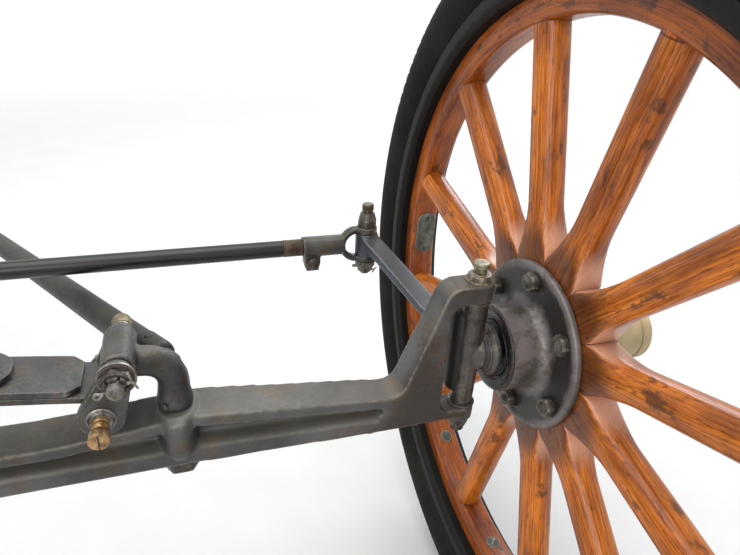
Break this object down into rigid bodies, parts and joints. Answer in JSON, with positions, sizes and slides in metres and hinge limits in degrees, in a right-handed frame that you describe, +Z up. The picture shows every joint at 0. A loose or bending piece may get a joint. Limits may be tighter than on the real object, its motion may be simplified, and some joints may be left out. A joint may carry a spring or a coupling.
{
  "type": "front axle assembly of a vintage car",
  "caption": "Forged front axle with steered wooden spoked wheels and tyres, tie rod, transverse leaf spring on shackles and radius rods meeting at a ball.",
  "frame": {"origin": "middle of the spring seat, the top of the leaf spring where it bolts under the car's frame", "axes": "+X to the car's left, -Y to its front, +Z up"},
  "size_m": [1.6482, 1.206, 0.7619],
  "materials": {
    "forged_black": "satin, worn",
    "knuckle_black": "oily satin",
    "hub_black": "greasy semi-gloss",
    "bolt_steel": "dull",
    "perch_steel": "worn satin",
    "spring_steel": "satin",
    "tie_rod_black": "satin",
    "radius_rod_black": "satin, dusty",
    "spoke_wood": "varnished",
    "felloe_wood": "varnished",
    "rim_black": "semi-gloss",
    "plate_steel": "dull",
    "tyre": "dull",
    "oiler_brass": "dull",
    "cap_brass": "dull"
  },
  "bodies": {
    "axle": {"axle_beam": "forged_black", "main_leaf": "spring_steel", "spring_leaves": "spring_steel", "spring_clips": "forged_black", "rebound_clips": "spring_steel", "radius_ball": "radius_rod_black", "kingpin_left": "bolt_steel", "kingpin_right": "bolt_steel", "spring_perch_left": "perch_steel", "spring_perch_right": "perch_steel", "shackle_left": "perch_steel", "shackle_right": "perch_steel", "shackle_oilers_left": "oiler_brass", "shackle_oilers_right": "oiler_brass", "radius_rod_left": "radius_rod_black", "radius_rod_right": "radius_rod_black"},
    "knuckle_left": {"knuckle_left": "knuckle_black", "steering_arm_left": "knuckle_black"},
    "knuckle_right": {"knuckle_right": "knuckle_black", "steering_arm_right": "knuckle_black"},
    "tie_rod": {"tie_rod": "tie_rod_black", "tie_rod_yoke_left": "knuckle_black", "tie_rod_bolt_left": "bolt_steel"},
    "yoke_right": {"tie_rod_yoke_right": "knuckle_black", "tie_rod_bolt_right": "bolt_steel"},
    "wheel_left": {"hub_left": "hub_black", "hub_plate_left": "hub_black", "hub_cap_left": "cap_brass", "spokes_left": "spoke_wood", "felloe_left": "felloe_wood", "felloe_plates_left": "plate_steel", "rim_left": "rim_black", "tyre_left": "tyre"},
    "wheel_right": {"hub_right": "hub_black", "hub_plate_right": "hub_black", "hub_cap_right": "cap_brass", "spokes_right": "spoke_wood", "felloe_right": "felloe_wood", "felloe_plates_right": "plate_steel", "rim_right": "rim_black", "tyre_right": "tyre"}
  },
  "joints": [
    {"name": "steer_left", "type": "hinge", "parent": "axle", "child": "knuckle_left", "pos_m": [0.63862, 0, -0.07822], "axis": [0, 0, 1], "range_deg": [-30, 30]},
    {"name": "steer_right", "type": "hinge", "parent": "axle", "child": "knuckle_right", "pos_m": [-0.63862, 0, -0.07822], "axis": [0, 0, 1], "range_deg": [-31, 31]},
    {"name": "tie_rod_pivot_left", "type": "hinge", "parent": "knuckle_left", "child": "tie_rod", "pos_m": [0.59552, 0.1724, -0.04287], "axis": [0, 0, 1], "range_deg": [-33, 33]},
    {"name": "tie_rod_pivot_right", "type": "hinge", "parent": "knuckle_right", "child": "yoke_right", "pos_m": [-0.59552, 0.1724, -0.04287], "axis": [0, 0, 1], "range_deg": [-33, 33]},
    {"name": "wheel_left_spin", "type": "hinge", "parent": "knuckle_left", "child": "wheel_left", "pos_m": [0.71452, 0, -0.07822], "axis": [1, 0, -0.0087], "continuous": true},
    {"name": "wheel_right_spin", "type": "hinge", "parent": "knuckle_right", "child": "wheel_right", "pos_m": [-0.71452, 0, -0.07822], "axis": [1, 0, 0.0087], "continuous": true}
  ],
  "couplings": [
    {"joint": "steer_right", "follows": "steer_left", "ratio": 1},
    {"joint": "tie_rod_pivot_left", "follows": "steer_left", "ratio": -1.0693},
    {"joint": "tie_rod_pivot_right", "follows": "steer_left", "ratio": -1.0693}
  ]
}
